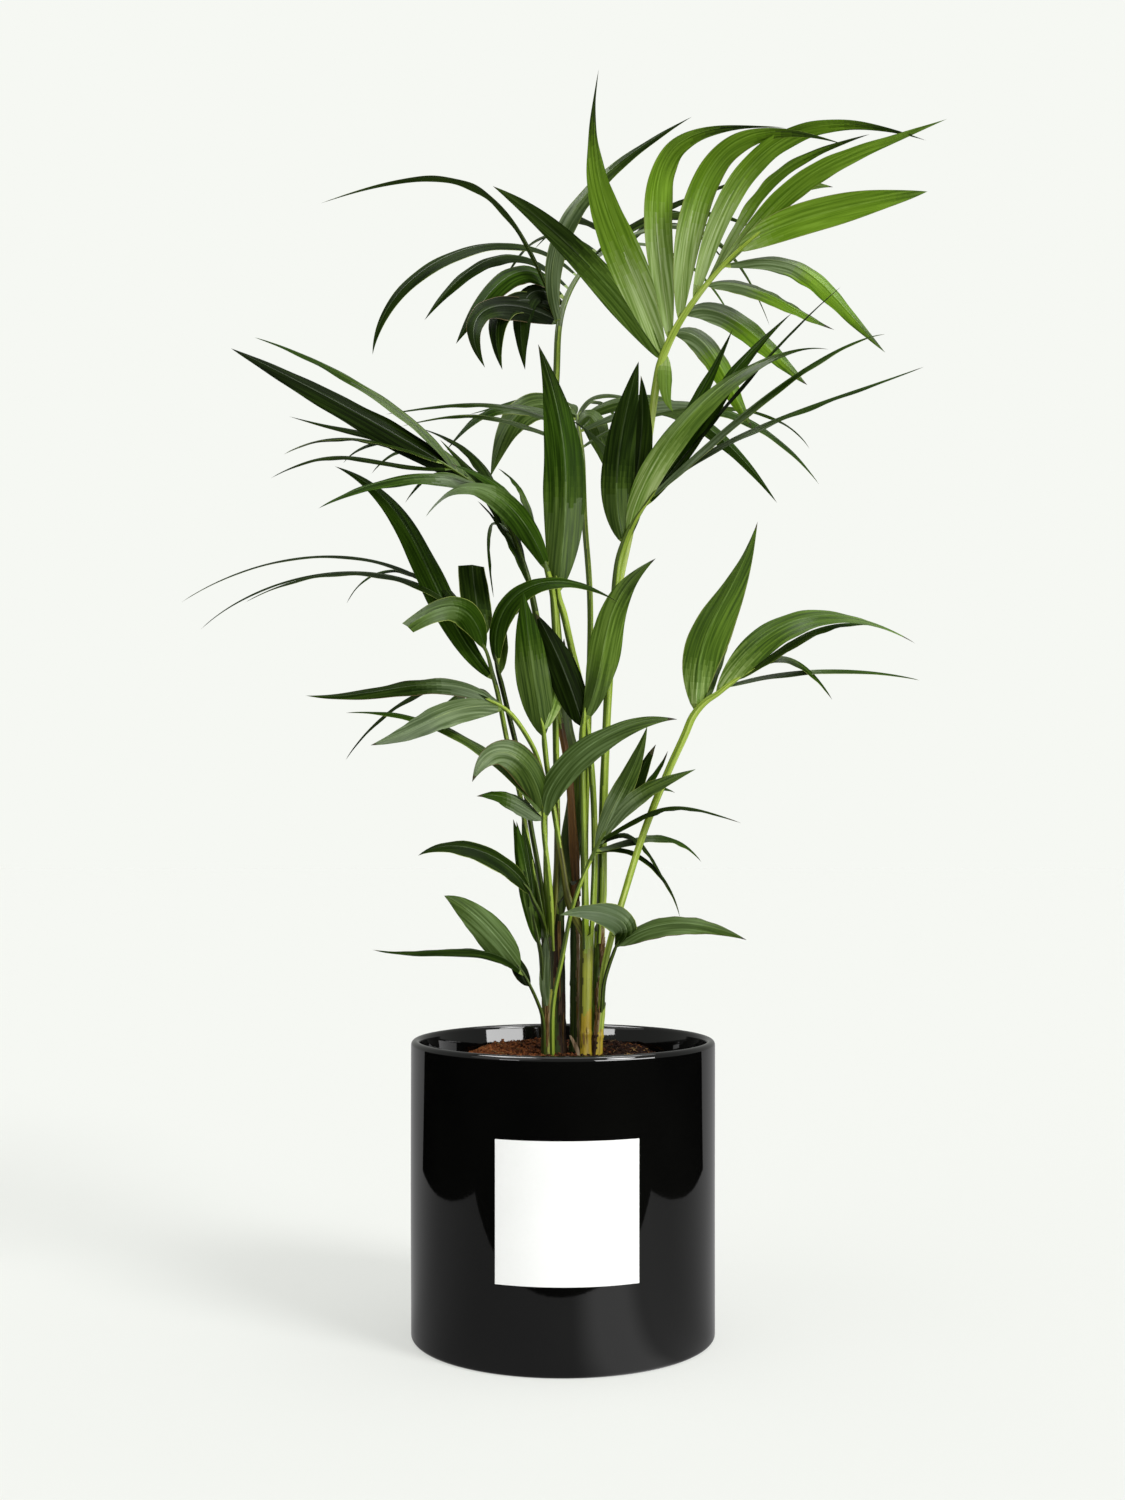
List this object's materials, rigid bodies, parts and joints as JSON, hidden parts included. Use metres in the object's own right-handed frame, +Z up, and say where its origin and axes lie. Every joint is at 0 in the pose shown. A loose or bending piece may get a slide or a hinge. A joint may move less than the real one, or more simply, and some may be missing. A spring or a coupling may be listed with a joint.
{
  "type": "potted palm",
  "caption": "Young kentia palm with slim canes and long arching fronds, standing in a glossy black cylinder pot with a bare white label.",
  "frame": {"origin": "centre of the pot's flat underside, on the pot's axis", "axes": "+Z up along the pot's axis, -Y towards the front where the label is, +X to the right seen from the front"},
  "size_m": [0.7079, 0.4709, 1.1472],
  "materials": {
    "pot_glaze": "glossy black glaze",
    "label_paper": "plain matt white paper",
    "soil": "dry crumbly brown potting mix",
    "cane_left": "smooth grey-green sheath over tan fibres",
    "cane_dark": "dark green-brown with papery fibres",
    "cane_brown": "dark brown with pale papery strips",
    "cane_yellow": "smooth yellow-green sheath",
    "cane_papery": "dry papery brown sheath",
    "cane_right": "smooth yellow sheath",
    "stalk": "smooth satin yellow-green stalk with darker edges",
    "frond_dark": "satin dark green leaf",
    "frond_mid": "satin mid green leaf",
    "frond_light": "satin fresh green leaf",
    "frond_lime": "fresh yellow-green leaf seen from below",
    "frond_grey": "satin grey-green leaf"
  },
  "bodies": {
    "root": {"cane_brown": "cane_brown", "cane_dark": "cane_dark", "cane_left": "cane_left", "cane_papery": "cane_papery", "cane_right": "cane_right", "cane_yellow": "cane_yellow", "centre_bifid_frond": "frond_mid", "centre_bifid_stalk": "stalk", "centre_left_blade_frond": "frond_mid", "centre_left_blade_stalk": "stalk", "centre_tall_frond": "frond_dark", "centre_tall_stalk": "stalk", "crown_left_frond": "frond_dark", "crown_left_stalk": "stalk", "crown_right_frond": "frond_lime", "crown_right_stalk": "stalk", "foot_left_frond": "frond_mid", "foot_left_stalk": "stalk", "foot_right_frond": "frond_grey", "foot_right_stalk": "stalk", "label": "label_paper", "left_arch_frond": "frond_mid", "left_arch_stalk": "stalk", "left_dark_frond": "frond_dark", "left_dark_stalk": "stalk", "low_centre_frond": "frond_mid", "low_centre_stalk": "stalk", "low_left_blade_frond": "frond_dark", "low_left_blade_stalk": "stalk", "low_right_fan_frond": "frond_grey", "low_right_fan_stalk": "stalk", "lower_left_frond": "frond_mid", "lower_left_stalk": "stalk", "pot": "pot_glaze", "right_tall_frond": "frond_light", "right_tall_stalk": "stalk", "soil": "soil", "spears_frond": "frond_dark", "spears_stalk": "stalk", "upper_back_frond": "frond_mid", "upper_back_stalk": "stalk", "upper_left_frond": "frond_dark", "upper_left_front_frond": "frond_mid", "upper_left_front_stalk": "stalk", "upper_left_stalk": "stalk", "upper_right_frond": "frond_dark", "upper_right_stalk": "stalk"}
  },
  "joints": []
}
